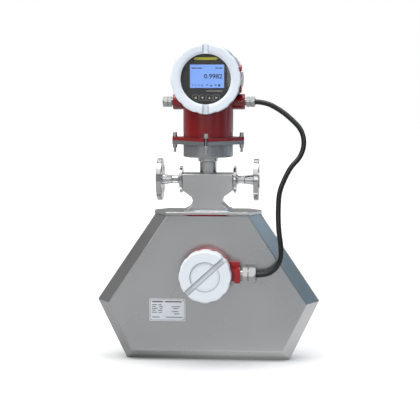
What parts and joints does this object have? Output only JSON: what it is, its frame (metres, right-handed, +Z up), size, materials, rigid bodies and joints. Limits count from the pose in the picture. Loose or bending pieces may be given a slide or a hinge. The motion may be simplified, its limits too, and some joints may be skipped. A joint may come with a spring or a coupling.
{
  "type": "coriolis flow meter",
  "caption": "Coriolis mass flow meter: bevelled steel sensor case, flanged pipe manifold and painted transmitter head with display, cabled to a round junction box.",
  "frame": {"origin": "middle of the flat lower rim of the sensor case", "axes": "+Z up, +X along the pipe from inlet to outlet, -Y the way the display faces"},
  "size_m": [0.524, 0.211, 0.7419],
  "materials": {
    "case_steel": "smooth satin stainless sheet with blurred reflections",
    "machined_steel": "fine machined stainless with turning and milling marks",
    "plate_metal": "thin matt anodised plate, left bare",
    "tube_steel": "drawn stainless tube",
    "coil": "copper winding on a steel saddle",
    "magnet": "nickel plated magnet",
    "fasteners": "bright zinc plated steel",
    "grey_paint": "satin grey powder coat on a casting",
    "red_paint": "satin red powder coat on a casting",
    "white_paint": "smooth off-white powder coat on a casting",
    "o_ring": "matt black rubber",
    "window_glass": "clear toughened glass",
    "ring_metal": "dark anodised aluminium",
    "bezel_plastic": "dark grey moulded plastic with a printed band",
    "display": "blue backlit liquid crystal panel",
    "keys": "clear tinted key windows",
    "circuit_board": "green solder mask",
    "module_plastic": "black potted housing",
    "terminal_plastic": "green moulded terminal body",
    "terminal_metal": "plated brass screws",
    "gland_metal": "nickel plated brass",
    "gland_rubber": "black sealing rubber",
    "cable_jacket": "smooth black cable jacket"
  },
  "bodies": {
    "meter": {"case_front_shell": "case_steel", "case_rear_shell": "case_steel", "case_top_plate": "case_steel", "type_plate": "plate_metal", "manifold_base_pad": "machined_steel", "manifold_block": "machined_steel", "inlet_end_disc": "machined_steel", "outlet_end_disc": "machined_steel", "inlet_stub": "machined_steel", "outlet_stub": "machined_steel", "inlet_flange": "machined_steel", "outlet_flange": "machined_steel", "flow_tube_front": "tube_steel", "flow_tube_rear": "tube_steel", "inlet_brace_bar": "tube_steel", "outlet_brace_bar": "tube_steel", "drive_coil": "coil", "drive_magnet": "magnet", "inlet_pickoff_coil": "coil", "inlet_pickoff_magnet": "magnet", "outlet_pickoff_coil": "coil", "outlet_pickoff_magnet": "magnet", "temperature_sensor": "tube_steel", "neck_tube": "machined_steel", "adapter_housing": "grey_paint", "adapter_o_ring": "o_ring", "clamp_bolts": "fasteners", "clamp_nuts": "fasteners", "clamp_washers": "fasteners", "spring_washers": "fasteners", "transmitter_housing": "red_paint", "display_cover_o_ring": "o_ring", "display_bezel": "bezel_plastic", "lcd_panel": "display", "optical_keys": "keys", "display_board": "circuit_board", "electronics_module": "module_plastic", "rear_cover_o_ring": "o_ring", "terminal_block": "terminal_plastic", "terminal_screws": "terminal_metal", "side_plate": "plate_metal", "upper_gland_body": "gland_metal", "upper_gland_nut": "gland_metal", "upper_gland_seal": "gland_rubber", "spare_gland_body": "gland_metal", "spare_gland_nut": "gland_metal", "spare_gland_plug": "gland_rubber", "junction_base": "red_paint", "junction_o_ring": "o_ring", "junction_terminals": "terminal_plastic", "junction_feedthrough": "module_plastic", "lower_gland_body": "gland_metal", "lower_gland_nut": "gland_metal", "lower_gland_seal": "gland_rubber", "interconnect_cable": "cable_jacket"},
    "display_cover": {"display_cover": "white_paint", "display_window": "window_glass", "window_retaining_ring": "ring_metal"},
    "rear_cover": {"rear_cover": "white_paint"},
    "junction_cover": {"junction_cover": "white_paint"}
  },
  "joints": [
    {"name": "display_cover_removal", "type": "slide", "parent": "meter", "child": "display_cover", "axis": [0, -1, 0], "range_m": [0, 0.06]},
    {"name": "rear_cover_removal", "type": "slide", "parent": "meter", "child": "rear_cover", "axis": [0, 1, 0], "range_m": [0, 0.06]},
    {"name": "junction_cover_removal", "type": "slide", "parent": "meter", "child": "junction_cover", "axis": [0, -1, 0], "range_m": [0, 0.06]}
  ]
}
